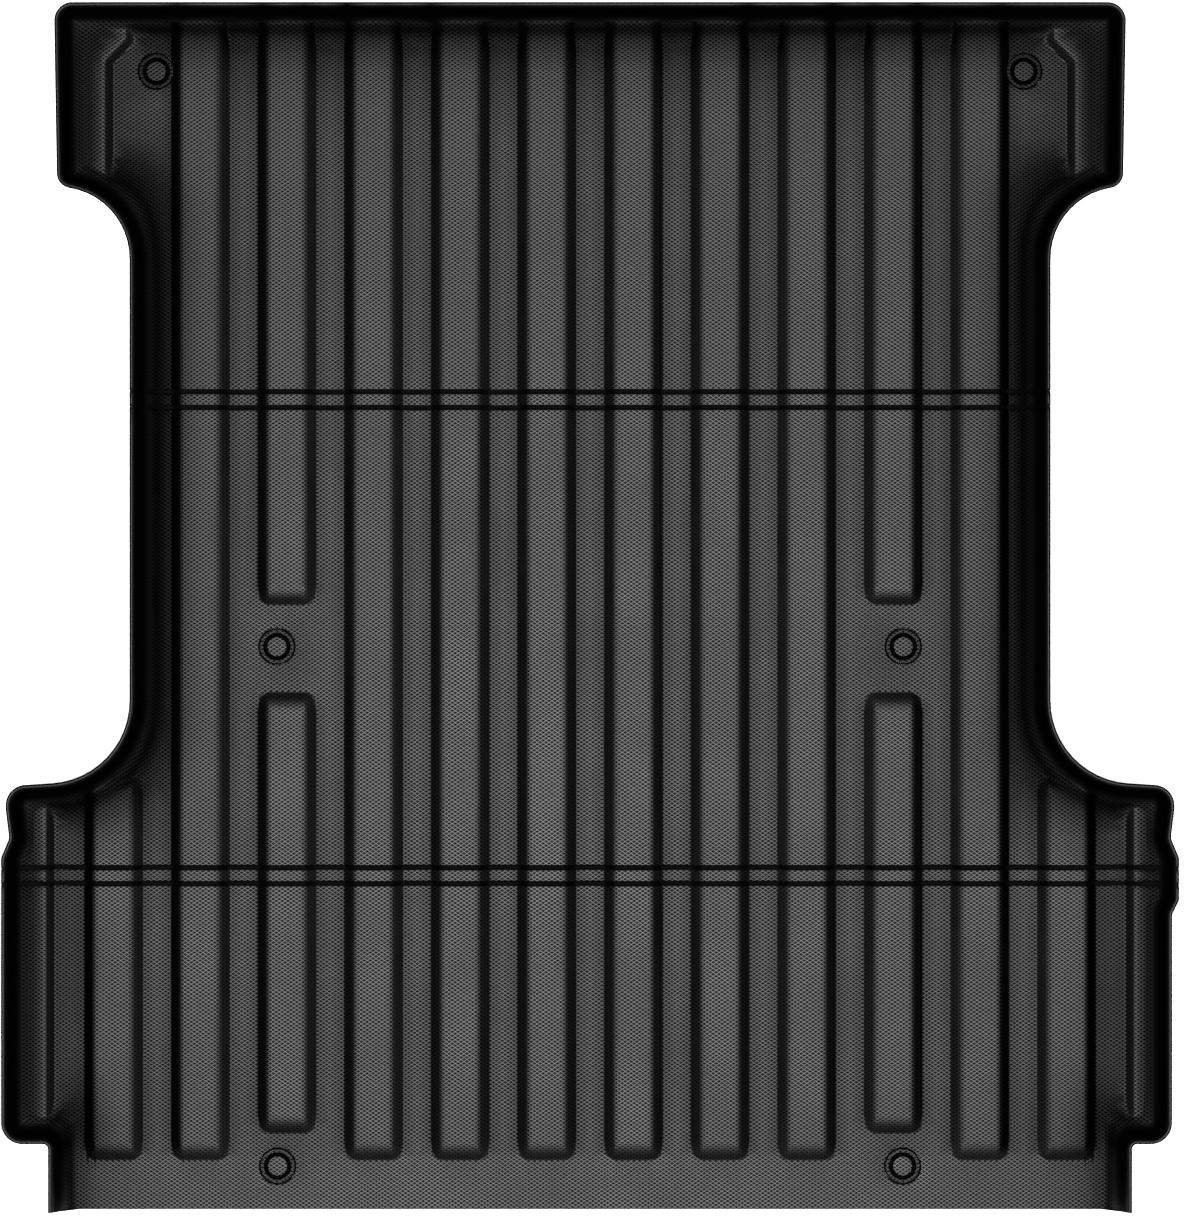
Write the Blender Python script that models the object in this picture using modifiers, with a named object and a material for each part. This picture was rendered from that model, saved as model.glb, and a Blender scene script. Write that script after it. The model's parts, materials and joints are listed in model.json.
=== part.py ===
"""Moulded rubber floor liner for the bed of a full-size pickup.

A shallow tray follows the plan of the bed floor: full width in front of and behind the
wheel housings, narrow between them.  On every side but the tailgate edge the floor rises
through a cove to a standing lip.  Long hollow ribs run from the cab end to the tailgate,
low shelves fill the outer corners, and two pairs of fold grooves cross the tray.  The
sheet is thin under a groove, so the tray bends there: each pair leaves a narrow strip
between two bending webs.  Six round plugs close the holes over the bed bolts.

Metres.  X runs across the truck, +Y towards the cab, +Z up.  The origin is the middle of
the underside, which lies on the bed floor.
"""

import math

import bmesh
import bpy
from mathutils import Matrix, Vector

# The sheet
HALF_LENGTH = 0.850
SKIN = 0.0035  # thickness of the moulded sheet
WEB_SKIN = 0.0012  # thickness left under a fold groove
GAP = 0.0003  # clearance between neighbouring pieces

# The lip and the cove at its foot
LIP_HEIGHT = 0.052
# Outer face from the floor up: how far each point lies inside the rim, and its height
LIP_PROFILE = (
    (0.0600, 0.0),
    (0.0460, 0.0020),
    (0.0360, 0.0062),
    (0.0305, 0.0115),
    (0.0165, 0.0205),
    (0.0, LIP_HEIGHT),
)
LIP_CLEARANCE = 0.008  # the room over the floor is cut this much higher than the lip

# The ribs
RIB_PITCH = 0.1223
RIB_HEIGHT = 0.014
RIB_HALF_WIDTH = 0.0412  # at the floor
RIB_FLANK = 0.0133  # how far a flank moves in over the rib's height
RIB_END_FLANK = 0.0225  # the same for the sloping end of a rib
RIB_SHOULDER = (0.0022, 0.0028)  # chamfer of the top edge, inwards and downwards
RIB_CORNER = 0.014  # plan radius of a rib's corner
RIB_REAR_END = -0.780
SPLIT_RIB = 3  # this rib, counted from the middle, stops short of the bolt plugs
SPLIT_RIB_ENDS = (0.004, -0.120, -0.742)  # end of its front half; start and end of its rear half
WING_RIB = 5  # this rib exists only behind the wheel housing
WING_RIB_FRONT = -0.236
CAVITY_FRONT = HALF_LENGTH - 0.022  # a rib's hollow stops here, inside the cab-end lip
WING_CAVITY_FRONT = -0.266

# The corner shelves: the plan corners at floor level, on the right-hand side
SHELF_HEIGHT = 0.0125
SHELF_FLANK = 0.0105
FRONT_SHELF = ((0.674, 0.50), (0.90, 0.50), (0.90, 0.92), (0.644, 0.92), (0.644, 0.799), (0.674, 0.768))
REAR_SHELF = ((0.7570, -0.80), (0.90, -0.80), (0.90, -0.18), (0.7570, -0.18))
REAR_SHELF_HOLLOW = ((0.7625, -0.695), (0.7935, -0.695), (0.7935, -0.305), (0.7625, -0.305))
SHELF_CORNER = 0.008

# The fold grooves, from the cab end back
GROOVE_WIDTH = 0.0065
FRONT_OUTER_FOLD = 0.3045
FRONT_INNER_FOLD = 0.2822
REAR_INNER_FOLD = -0.3669
REAR_OUTER_FOLD = -0.3895
LIP_SLIT = 0.0008  # width of the slit in the lip at each fold
FRONT_GROOVE_END = 0.6262  # half the length of a groove in the narrow part
REAR_GROOVE_END = 0.8065  # half the length of a groove in the wide part
# Name, y, half-length, and the fold whose axis carries the groove's web
FOLDS = (
    ("front_outer", FRONT_OUTER_FOLD, FRONT_GROOVE_END, "front_inner"),
    ("front_inner", FRONT_INNER_FOLD, FRONT_GROOVE_END, "front_inner"),
    ("rear_inner", REAR_INNER_FOLD, REAR_GROOVE_END, "rear_inner"),
    ("rear_outer", REAR_OUTER_FOLD, REAR_GROOVE_END, "rear_inner"),
)

# The bolt plugs: radius and the places on the right-hand side
PLUG_RADIUS = 0.0255
PLUG_PLACES = (("front", 0.6128, 0.7577), ("middle", 0.4425, -0.0550), ("rear", 0.4415, -0.7890))
PLUG_SEGMENTS = 24

# Plan of the rim, the lip's outer top edge: half-width, y and fillet radius, cab end first
HALF_RIM = (
    (0.7527, HALF_LENGTH, 0.021),
    (0.7485, 0.592, 0.016),
    (0.6467, 0.574, 0.100),  # front arc of the wheel housing
    (0.6467, -0.240, 0.116),  # rear arc of the wheel housing
    (0.8210, -0.2505, 0.015),
    (0.8215, -0.282, 0.020),
    (0.8160, -0.318, 0.020),  # shallow waist in the wing's side
    (0.8271, -0.350, 0.020),
)
# The same corners for the cove's inner edge, which leaves out the waist; DEEP further in
HALF_COVE = (
    (0.7527, HALF_LENGTH, 0.006),
    (0.7485, 0.592, 0.006),
    (0.6467, 0.574, 0.085),
    (0.6467, -0.240, 0.150),
    (0.8210, -0.2505, 0.006),
    (0.8220, -0.330, 0.100),
    (0.8230, -0.345, 0.100),
    (0.8245, -0.360, 0.100),
)
SHALLOW = 0.020  # up to this inset the plan keeps the rim's shape
DEEP = 0.060  # from here on it has the cove's
WING_HALF_WIDTH = 0.8271
RIGHT_STEP = 0.0098  # the right-hand wing steps in behind the folds
RIGHT_STEP_Y = (-0.411, -0.431)
NOTCH_Y = -0.7535  # the wings end here and the narrower tail begins
TAIL_HALF_WIDTH = 0.7611
OVERRUN = 0.14  # construction solids run this far past the tailgate edge
BIG_ARC = 0.06  # fillets above this radius get finer steps
FINE_STEP = math.radians(10)
COARSE_STEP = math.radians(24)
LEAST_RADIUS = 0.002

# Rubber
SHEET_GREY = 0.018
SHEET_ROUGHNESS = 0.55
WEB_GREY = 0.012
WEB_ROUGHNESS = 0.65


def side_corners(side, half_plan, notch_radii):
    """Corners of one side of a plan, cab end first; side is 1 for right, -1 for left."""
    corners = list(half_plan)
    wing = WING_HALF_WIDTH
    if side > 0:
        corners.append((wing, RIGHT_STEP_Y[0], 0.010))
        wing -= RIGHT_STEP
        corners.append((wing, RIGHT_STEP_Y[1], 0.010))
    wing_radius, tail_radius = notch_radii
    corners.append((wing, NOTCH_Y, wing_radius))
    corners.append((TAIL_HALF_WIDTH, NOTCH_Y, tail_radius))
    corners.append((TAIL_HALF_WIDTH, -HALF_LENGTH - OVERRUN, 0.004))
    return [(side * x, y, radius) for x, y, radius in corners]


def plan(half_plan, notch_radii):
    """A whole plan as corners with fillet radii, anticlockwise."""
    left = side_corners(-1, half_plan, notch_radii)
    right = side_corners(1, half_plan, notch_radii)
    return left + right[::-1]


def directions(corners, index):
    """Unit directions of the edges that reach and leave a corner."""
    before = Vector(corners[index - 1][:2])
    here = Vector(corners[index][:2])
    after = Vector(corners[(index + 1) % len(corners)][:2])
    return (here - before).normalized(), (after - here).normalized()


def turn_at(corners, index):
    """Angle turned at a corner, positive at an outside corner of an anticlockwise plan."""
    arriving, leaving = directions(corners, index)
    return math.atan2(arriving.cross(leaving), arriving.dot(leaving))


def inset(corners, distance):
    """Move every edge of an anticlockwise plan inwards, with its fillets kept concentric."""
    moved = []
    for index, (x, y, radius) in enumerate(corners):
        arriving, leaving = directions(corners, index)
        inward = Vector((-arriving.y, arriving.x))
        next_inward = Vector((-leaving.y, leaving.x))
        mitre = (inward + next_inward) * (distance / (1 + inward.dot(next_inward)))
        outside_corner = turn_at(corners, index) > 0
        new_radius = radius - distance if outside_corner else radius + distance
        moved.append((x + mitre.x, y + mitre.y, max(new_radius, LEAST_RADIUS)))
    return moved


def arc_steps(corners):
    """Number of steps in the arc at each corner."""
    steps = []
    for index, (_, _, radius) in enumerate(corners):
        step = FINE_STEP if radius > BIG_ARC else COARSE_STEP
        steps.append(max(2, math.ceil(abs(turn_at(corners, index)) / step)))
    return steps


def fillet(corners, steps=None):
    """Plan points with each corner replaced by its arc."""
    points = []
    for index, ((x, y, radius), count) in enumerate(zip(corners, steps or arc_steps(corners))):
        arriving, _ = directions(corners, index)
        turn = turn_at(corners, index)
        start = Vector((x, y)) - arriving * radius * math.tan(abs(turn) / 2)
        spoke = Vector((arriving.y, -arriving.x)) * math.copysign(radius, turn)
        centre = start - spoke
        for step in range(count + 1):
            angle = turn * step / count
            points.append((
                centre.x + spoke.x * math.cos(angle) - spoke.y * math.sin(angle),
                centre.y + spoke.x * math.sin(angle) + spoke.y * math.cos(angle),
            ))
    return points


def ring(distance):
    """Plan points of the tray at an inset from its rim."""
    rim = plan(HALF_RIM, (0.030, 0.007))
    steps = arc_steps(rim)
    if distance <= SHALLOW:
        return fillet(inset(rim, distance), steps)
    shallow = inset(rim, SHALLOW)
    cove = plan(HALF_COVE, (0.006, 0.030))
    share = (distance - SHALLOW) / (DEEP - SHALLOW)
    corners = []
    for (x, y, radius), (cove_x, cove_y, _), (_, _, cove_radius) in zip(shallow, inset(cove, DEEP), cove):
        corners.append((
            x + (cove_x - x) * share,
            y + (cove_y - y) * share,
            max(radius + (cove_radius - radius) * share, LEAST_RADIUS),
        ))
    return fillet(corners, steps)


def link(mesh, name, group):
    """Make an object of a bmesh and put it in a collection."""
    bmesh.ops.recalc_face_normals(mesh, faces=mesh.faces)
    data = bpy.data.meshes.new(name)
    mesh.to_mesh(data)
    mesh.free()
    thing = bpy.data.objects.new(name, data)
    group.objects.link(thing)
    return thing


def loft(name, sections, group):
    """Closed solid through matching plans; each section is (points, height), lowest first."""
    mesh = bmesh.new()
    rings = [[mesh.verts.new((x, y, height)) for x, y in points] for points, height in sections]
    mesh.faces.new(rings[0])
    mesh.faces.new(rings[-1])
    for low, high in zip(rings, rings[1:]):
        for i in range(len(low)):
            mesh.faces.new((low[i - 1], low[i], high[i]))
            mesh.faces.new((low[i - 1], high[i], high[i - 1]))
    return link(mesh, name, group)


def block(name, low, high, group):
    """Box between two corners."""
    mesh = bmesh.new()
    bmesh.ops.create_cube(mesh, size=1)
    for vert in mesh.verts:
        for axis in range(3):
            vert.co[axis] = low[axis] if vert.co[axis] < 0 else high[axis]
    return link(mesh, name, group)


def as_cutter(thing):
    """Mark an object as construction geometry."""
    thing.hide_render = True
    thing.display_type = "WIRE"
    return thing


def boolean(thing, operation, operand):
    """Add a Boolean modifier whose operand is an object or a collection."""
    modifier = thing.modifiers.new(operation.lower(), "BOOLEAN")
    modifier.operation = operation
    if isinstance(operand, bpy.types.Collection):
        modifier.operand_type = "COLLECTION"
        modifier.collection = operand
    else:
        modifier.object = operand


def lip_face(layer):
    """The lip's profile one layer inside its outer face, as (inset, height) from the floor up."""
    points = [Vector((-distance, height)) for distance, height in LIP_PROFILE]
    before_first = points[0] - Vector((1, 0))
    after_last = points[-1] * 2 - points[-2]
    line = [before_first] + points + [after_last]
    face = []
    for before, here, after in zip(line, line[1:], line[2:]):
        arriving = (here - before).normalized()
        leaving = (after - here).normalized()
        inward = Vector((-arriving.y, arriving.x))
        next_inward = Vector((-leaving.y, leaving.x))
        moved = here + (inward + next_inward) * (layer / (1 + inward.dot(next_inward)))
        face.append((-moved.x, moved.y))
    return face


def tray_solid(name, group):
    """Solid as deep as the lip, with the liner's outer face and underside."""
    return loft(name, [(ring(distance), height) for distance, height in lip_face(0.0)], group)


def room_solid(name, layer, group):
    """The room above a floor that is one layer thick, bounded by the lip's inner face."""
    face = lip_face(layer)
    (near, low), (far, high) = face[-2:]
    above = LIP_HEIGHT + LIP_CLEARANCE
    face[-1] = (near + (far - near) * (above - low) / (high - low), above)
    return loft(name, [(ring(distance), height) for distance, height in face], group)


def flank_shift(height, layer, run, rise):
    """How far a sloping flank has moved in, a layer above the hollow, from the sheet's foot line."""
    slope = run / rise
    return (height - SKIN) * slope + (SKIN - layer) * math.hypot(1, slope)


def rib_section(rib, height, layer, extra=0.0):
    """Plan of a rib at a height; extra narrows it further."""
    x, front, rear = rib
    side = flank_shift(height, layer, RIB_FLANK, RIB_HEIGHT) + extra
    end = flank_shift(height, layer, RIB_END_FLANK, RIB_HEIGHT) + extra
    half = RIB_HALF_WIDTH - side
    radius = max(RIB_CORNER - side, 0.003)
    front = front if front > HALF_LENGTH else front - end
    corners = ((x - half, front), (x - half, rear + end), (x + half, rear + end), (x + half, front))
    return fillet([(px, py, radius) for px, py in corners])


def rib_solid(name, rib, layer, group):
    """A rib whose surface lies one layer above its hollow; layer 0 gives the hollow itself."""
    inwards, downwards = RIB_SHOULDER
    top = RIB_HEIGHT + layer
    sections = (
        (rib_section(rib, layer - 0.010, layer), layer - 0.010),
        (rib_section(rib, top - downwards, layer), top - downwards),
        (rib_section(rib, top, layer, inwards), top),
    )
    return loft(name, sections, group)


def ribs():
    """Every rib as (x, front end, rear end); a front end past the tray runs into its lip."""
    past = HALF_LENGTH + OVERRUN
    front_half_end, rear_half_start, rear_half_end = SPLIT_RIB_ENDS
    found = []
    for side in (-1, 1):
        for number in range(WING_RIB + 1):
            x = side * (number + 0.5) * RIB_PITCH
            if number == SPLIT_RIB:
                found.append((x, past, front_half_end))
                found.append((x, rear_half_start, rear_half_end))
            elif number == WING_RIB:
                found.append((x, WING_RIB_FRONT, RIB_REAR_END))
            else:
                found.append((x, past, RIB_REAR_END))
    return found


def hollow_of(rib):
    """A rib's extent as seen from below: its hollow ends inside the lip that the rib runs into."""
    x, front, rear = rib
    if front > HALF_LENGTH:
        front = CAVITY_FRONT
    elif front == WING_RIB_FRONT:
        front = WING_CAVITY_FRONT
    return x, front, rear


def shelf_solid(name, corners, side, layer, bottom, group):
    """A shelf, or its hollow, with sloping sides; side mirrors the right-hand plan."""
    placed = [(side * x, y, SHELF_CORNER) for x, y in corners]
    if side < 0:
        placed.reverse()
    if layer:
        placed = inset(placed, flank_shift(layer, layer, SHELF_FLANK, SHELF_HEIGHT))
    top = SHELF_HEIGHT + layer
    shift = SHELF_FLANK * (top - bottom) / SHELF_HEIGHT
    sections = ((fillet(placed), bottom), (fillet(inset(placed, shift)), top))
    return loft(name, sections, group)


def raised_shapes(layer, group):
    """All ribs and shelves, standing one layer above their hollows."""
    for number, rib in enumerate(ribs()):
        rib_solid("rib_%d" % number, rib, layer, group)
    for side in (-1, 1):
        for corners in (FRONT_SHELF, REAR_SHELF):
            shelf_solid("shelf", corners, side, layer, layer - 0.001, group)


def plug_centres():
    """Name, x and y of every bolt plug."""
    return [
        ("plug_%s_%s" % (row, hand), side * x, y)
        for row, x, y in PLUG_PLACES
        for hand, side in (("left", -1), ("right", 1))
    ]


def rubber(name, grey, roughness):
    """Black rubber."""
    material = bpy.data.materials.new(name)
    material.use_nodes = True
    shader = material.node_tree.nodes["Principled BSDF"]
    shader.inputs["Base Color"].default_value = (grey, grey, grey * 1.02, 1)
    shader.inputs["Roughness"].default_value = roughness
    shader.inputs["Metallic"].default_value = 0.0
    material.diffuse_color = (grey, grey, grey, 1)
    return material


def collection(name):
    """New collection in the scene."""
    group = bpy.data.collections.new(name)
    bpy.context.scene.collection.children.link(group)
    return group


def pivot(name, y, parent=None):
    """Empty on a fold's axis, which runs along X at the underside."""
    empty = bpy.data.objects.new("%s_fold" % name, None)
    bpy.context.scene.collection.objects.link(empty)
    empty.parent = parent
    empty.location = (0, y - (parent.location.y if parent else 0), 0)
    return empty


def hang(thing, empty, y):
    """Put a piece that was modelled in place under an empty whose axis is at y."""
    thing.data.transform(Matrix.Translation((0, -y, 0)))
    thing.parent = empty


def freeze(thing, name, group):
    """Copy an object with its modifiers applied, as a cutter."""
    evaluated = thing.evaluated_get(bpy.context.evaluated_depsgraph_get())
    data = bpy.data.meshes.new_from_object(evaluated)
    copy = bpy.data.objects.new(name, data)
    group.objects.link(copy)
    return as_cutter(copy)


def build_room(name, layer, workshop):
    """The room above the sheet, with the ribs and shelves left standing in it."""
    shapes = collection("%s_shapes" % name)
    raised_shapes(layer, shapes)
    for shape in shapes.objects:
        as_cutter(shape)
    room = as_cutter(room_solid("%s_blank" % name, layer, workshop))
    boolean(room, "DIFFERENCE", shapes)
    bpy.context.view_layer.update()
    return freeze(room, name, workshop)


def cutter_sets():
    """Collections of the hollows under the sheet, the groove trenches and the plug holes."""
    hollows = collection("hollows")
    for number, rib in enumerate(ribs()):
        rib_solid("hollow_%d" % number, hollow_of(rib), 0.0, hollows)
    for side in (-1, 1):
        shelf_solid("shelf_hollow", REAR_SHELF_HOLLOW, side, 0.0, -0.002, hollows)
    trenches = collection("trenches")
    half = GROOVE_WIDTH / 2
    for _, fold, reach, _ in FOLDS:
        slab("trench", reach, fold - half, fold + half, trenches)
    holes = collection("holes")
    reach = PLUG_RADIUS + GAP
    top = 0.03
    for _, x, y in plug_centres():
        disc = turned("hole", ((0, top), (reach, top), (reach, -0.01), (0, -0.01)), holes)
        disc.location = (x, y, 0)
    for group in (hollows, trenches, holes):
        for shape in group.objects:
            as_cutter(shape)
    return hollows, trenches, holes


def turned(name, profile, group):
    """Solid of revolution about Z; the profile of (radius, height) runs from the top to the bottom."""
    mesh = bmesh.new()
    verts = [mesh.verts.new((radius, 0, height)) for radius, height in profile]
    for a, b in zip(verts, verts[1:]):
        mesh.edges.new((a, b))
    data = bpy.data.meshes.new(name)
    mesh.to_mesh(data)
    mesh.free()
    thing = bpy.data.objects.new(name, data)
    group.objects.link(thing)
    screw = thing.modifiers.new("turn", "SCREW")
    screw.steps = PLUG_SEGMENTS
    screw.render_steps = PLUG_SEGMENTS
    screw.use_merge_vertices = True
    screw.merge_threshold = 0.00005
    return thing


def plug(name, x, y, group):
    """Round plug over a bed bolt: a rim, a deep ring groove and a slightly raised button."""
    rim = PLUG_RADIUS
    profile = (
        (0, 0.0046),
        (0.0136, 0.0046),
        (0.0143, 0.0041),
        (0.0163, 0.0013),
        (0.0170, 0.0013),
        (0.0190, SKIN),
        (rim - 0.0005, SKIN),
        (rim, SKIN - 0.0005),
        (rim, GAP),
        (0, GAP),
    )
    thing = turned(name, profile, group)
    thing.location = (x, y, 0)
    return thing


def slab(name, reach, rear, front, group):
    """Construction box taller than the tray, from -reach to reach and between two y positions."""
    return as_cutter(block(name, (-reach, rear, -0.02), (reach, front, LIP_HEIGHT + 0.02), group))


def sheet_piece(name, rear, front, room, cuts, workshop, group):
    """The part of the tray between two y positions."""
    piece = tray_solid(name, group)
    boolean(piece, "INTERSECT", slab("%s_slab" % name, 1.0, rear, front, workshop))
    boolean(piece, "DIFFERENCE", room)
    for cut in cuts:
        boolean(piece, "DIFFERENCE", cut)
    return piece


def web_piece(name, fold, reach, room, hollows, workshop, group):
    """The thin bending web in one fold groove."""
    half = GROOVE_WIDTH / 2 - GAP
    piece = tray_solid(name, group)
    boolean(piece, "INTERSECT", slab("%s_slab" % name, reach - GAP, fold - half, fold + half, workshop))
    boolean(piece, "DIFFERENCE", room)
    boolean(piece, "DIFFERENCE", hollows)
    return piece


def build_sheet(room, cuts, holes, pivots, workshop, group):
    """The three panels and the two strips between them."""
    slit = LIP_SLIT / 2
    spans = (
        ("front_panel", FRONT_OUTER_FOLD + slit, HALF_LENGTH + OVERRUN, "front_outer"),
        ("front_fold_strip", FRONT_INNER_FOLD + slit, FRONT_OUTER_FOLD - slit, "front_inner"),
        ("centre_panel", REAR_INNER_FOLD + slit, FRONT_INNER_FOLD - slit, None),
        ("rear_fold_strip", REAR_OUTER_FOLD + slit, REAR_INNER_FOLD - slit, "rear_inner"),
        ("rear_panel", -HALF_LENGTH, REAR_OUTER_FOLD - slit, "rear_outer"),
    )
    for name, rear, front, fold in spans:
        piece_cuts = cuts + [holes] if name.endswith("panel") else cuts
        piece = sheet_piece(name, rear, front, room, piece_cuts, workshop, group)
        piece.data.materials.append(rubber("%s_rubber" % name, SHEET_GREY, SHEET_ROUGHNESS))
        if fold:
            hang(piece, *pivots[fold])


def build_webs(thin_room, hollows, pivots, workshop, group):
    """The thin webs that bend, one in each groove."""
    for name, fold, reach, carrier in FOLDS:
        web = web_piece("%s_web" % name, fold, reach, thin_room, hollows, workshop, group)
        web.data.materials.append(rubber("%s_web_rubber" % name, WEB_GREY, WEB_ROUGHNESS))
        hang(web, *pivots[carrier])


def build_plugs(pivots, group):
    """The six bolt plugs, each under the panel that it sits in."""
    carriers = {"front": pivots["front_outer"], "middle": (None, 0.0), "rear": pivots["rear_outer"]}
    for name, x, y in plug_centres():
        cap = plug(name, x, y, group)
        cap.data.materials.append(rubber("%s_rubber" % name, SHEET_GREY, SHEET_ROUGHNESS))
        cap.parent, axis_y = carriers[name.split("_")[1]]
        cap.location.y = y - axis_y


def build():
    """The whole liner."""
    for old in list(bpy.data.objects):
        bpy.data.objects.remove(old, do_unlink=True)
    workshop = collection("workshop")
    liner = collection("bed_liner")

    room = build_room("room", SKIN, workshop)
    thin_room = build_room("thin_room", WEB_SKIN, workshop)
    hollows, trenches, holes = cutter_sets()

    front_inner = pivot("front_inner", FRONT_INNER_FOLD)
    rear_inner = pivot("rear_inner", REAR_INNER_FOLD)
    pivots = {
        "front_inner": (front_inner, FRONT_INNER_FOLD),
        "front_outer": (pivot("front_outer", FRONT_OUTER_FOLD, front_inner), FRONT_OUTER_FOLD),
        "rear_inner": (rear_inner, REAR_INNER_FOLD),
        "rear_outer": (pivot("rear_outer", REAR_OUTER_FOLD, rear_inner), REAR_OUTER_FOLD),
    }
    build_sheet(room, [hollows, trenches], holes, pivots, workshop, liner)
    build_webs(thin_room, hollows, pivots, workshop, liner)
    build_plugs(pivots, liner)


build()
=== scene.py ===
"""Looks for the moulded rubber floor liner of a pickup bed.

Each CAD piece of the sheet is replaced by a finer closed skin of the same shape.  The skins
come from one triangulated plan: a height is worked out for the upper and the lower face of
every plan point, from the lip's profile, the ribs, the corner shelves and the edges of the
grooves and plug holes.  Thin webs lie in the grooves of the four folds, where the sheet
bends, and six turned plugs fill the bolt holes.  The rubber is procedural: a raised diamond
lattice on the floor and the ribs, and a smooth satin lip.

Metres, in the frame of the CAD.
"""

import json
import math

import bmesh
import bpy
import numpy as np
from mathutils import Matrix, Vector
from mathutils.geometry import delaunay_2d_cdt

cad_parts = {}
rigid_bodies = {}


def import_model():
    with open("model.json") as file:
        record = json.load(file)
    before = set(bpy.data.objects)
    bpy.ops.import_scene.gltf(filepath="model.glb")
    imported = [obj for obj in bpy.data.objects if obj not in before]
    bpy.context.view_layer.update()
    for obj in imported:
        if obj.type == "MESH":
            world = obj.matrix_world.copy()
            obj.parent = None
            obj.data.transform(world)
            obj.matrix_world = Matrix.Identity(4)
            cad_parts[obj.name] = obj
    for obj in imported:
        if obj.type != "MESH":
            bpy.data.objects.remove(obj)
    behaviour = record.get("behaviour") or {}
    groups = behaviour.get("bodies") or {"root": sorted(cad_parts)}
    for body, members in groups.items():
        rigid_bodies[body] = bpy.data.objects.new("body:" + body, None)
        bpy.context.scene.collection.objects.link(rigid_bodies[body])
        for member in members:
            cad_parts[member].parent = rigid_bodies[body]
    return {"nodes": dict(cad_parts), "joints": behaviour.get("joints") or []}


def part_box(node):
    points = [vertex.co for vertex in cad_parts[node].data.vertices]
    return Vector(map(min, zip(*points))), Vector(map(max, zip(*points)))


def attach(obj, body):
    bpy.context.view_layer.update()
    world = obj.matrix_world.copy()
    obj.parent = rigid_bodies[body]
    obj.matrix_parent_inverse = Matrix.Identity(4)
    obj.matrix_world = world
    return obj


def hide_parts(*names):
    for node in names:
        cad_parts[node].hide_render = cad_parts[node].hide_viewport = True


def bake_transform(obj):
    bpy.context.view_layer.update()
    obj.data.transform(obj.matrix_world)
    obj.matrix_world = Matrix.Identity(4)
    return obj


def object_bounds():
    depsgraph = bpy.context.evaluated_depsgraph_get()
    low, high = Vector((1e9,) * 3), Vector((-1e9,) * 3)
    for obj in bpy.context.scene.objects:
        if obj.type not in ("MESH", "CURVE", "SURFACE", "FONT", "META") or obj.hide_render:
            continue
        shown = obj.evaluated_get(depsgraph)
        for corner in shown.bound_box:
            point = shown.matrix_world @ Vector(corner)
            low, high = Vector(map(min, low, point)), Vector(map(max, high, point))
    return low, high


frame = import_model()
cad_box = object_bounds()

# Overall sizes, from the CAD
HALF_LENGTH = cad_box[1][1]
LIP_HEIGHT = cad_box[1][2]
SKIN = 0.0035
WEB_SKIN = 0.0012

# Height of the sheet's two faces against the distance in from the rim
UPPER_FACE = (
    (-0.0300, LIP_HEIGHT), (0.00540, LIP_HEIGHT), (0.0192, 0.0229), (0.0327, 0.0143),
    (0.0380, 0.0092), (0.0469, 0.0054), (0.0602, SKIN), (0.1100, SKIN),
)
LOWER_FACE = (
    (-0.0300, 0.1093), (0.0165, 0.0205), (0.0305, 0.0115),
    (0.0360, 0.0062), (0.0460, 0.0020), (0.0600, 0.0), (0.1100, 0.0),
)
LIP_UNDERSIDE = LIP_HEIGHT - 0.0028  # the lower face is cut off level just under the rim
TIGHT_COVE = ((0.0, 0.0), (0.0185, 0.0185), (0.0300, 0.0460), (0.0380, 0.0600), (0.25, 0.272))
TIGHT_Y = (-0.715, -0.765)  # the cove tightens between these y
TIGHT_X = (0.795, 0.770)  # and between these distances from the middle
FACE_BLUR = 0.0016  # rounding of the bends in both faces
BLUR_REACH = 3  # a blur is cut off at this many times its width
CURVE_STEP = 0.0001  # height curves are sampled this finely
RIM_ROUND = 0.0034
THINNEST = 0.0009  # the sheet is at least this thick

# Ribs: as in the CAD, with rounded shoulders
RIB_PITCH = 0.1223
RIB_HEIGHT = 0.014
RIB_HALF_WIDTH = 0.0412
RIB_END_STRETCH = 1.69  # an end slopes this much more gently than a side
RIB_SIDE = (math.radians(50), 0.007)  # angle of the wall and radius of the shoulder
RIB_END = (math.radians(60), 0.013)  # the same before the end is stretched
RIB_REACH = 0.0180  # corner rounding, measured like the side slope
RIB_FOOT_BLUR = 0.0005
CURVE_ENDS = (-0.02, 0.06)  # a wall's height curve runs between these distances from its foot
SHOULDER_POINTS = 12
TOP_MARGIN = 0.00002  # a rib's end counts as level this close under its top
END_FOOT = 0.0004  # and follows its side only from this far in
RIB_REAR_END = -0.780
SPLIT_RIB = 3
SPLIT_RIB_ENDS = (0.004, -0.120, -0.742)
WING_RIB = 5
WING_RIB_FRONT = -0.236
WALL_SHIFT = 0.0020  # a hollow's wall stands this far inside the rib's wall

# Shelves in the outer corners, right-hand side
SHELF_HEIGHT = 0.0125
SHELF_SIDE = (math.radians(52), 0.006)
FRONT_SHELF = (
    (0.674, 0.50), (0.90, 0.50), (0.90, 0.92), (0.644, 0.92), (0.644, 0.799), (0.674, 0.768),
)
REAR_SHELF = ((0.7570, -0.80), (0.90, -0.80), (0.90, -0.18), (0.7570, -0.18))
MELT = 0.006  # raised shapes run into each other over this height

# Folds and their grooves
GROOVE_WIDTH = 0.0065
LIP_SLIT = 0.0001
SLIT_LAP = 0.001  # the slit starts this far inside the groove's end
PAST_SIDE = 0.9  # and runs to here, beyond the widest part of the liner
NICK_DEPTH = 0.0025  # the lip dips this much at a fold
NICK_HALF = 0.0045
NICK_FADE = 0.004  # it sets in over this distance past the groove's end
NICK_POWER = 1.4  # above 1 the dip is sharpest at the slit
EDGE_ROUND = 0.0010  # rounding of groove, hole and tailgate edges
FRONT_GROOVE_END = 0.6262
REAR_GROOVE_END = 0.8065

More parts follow.
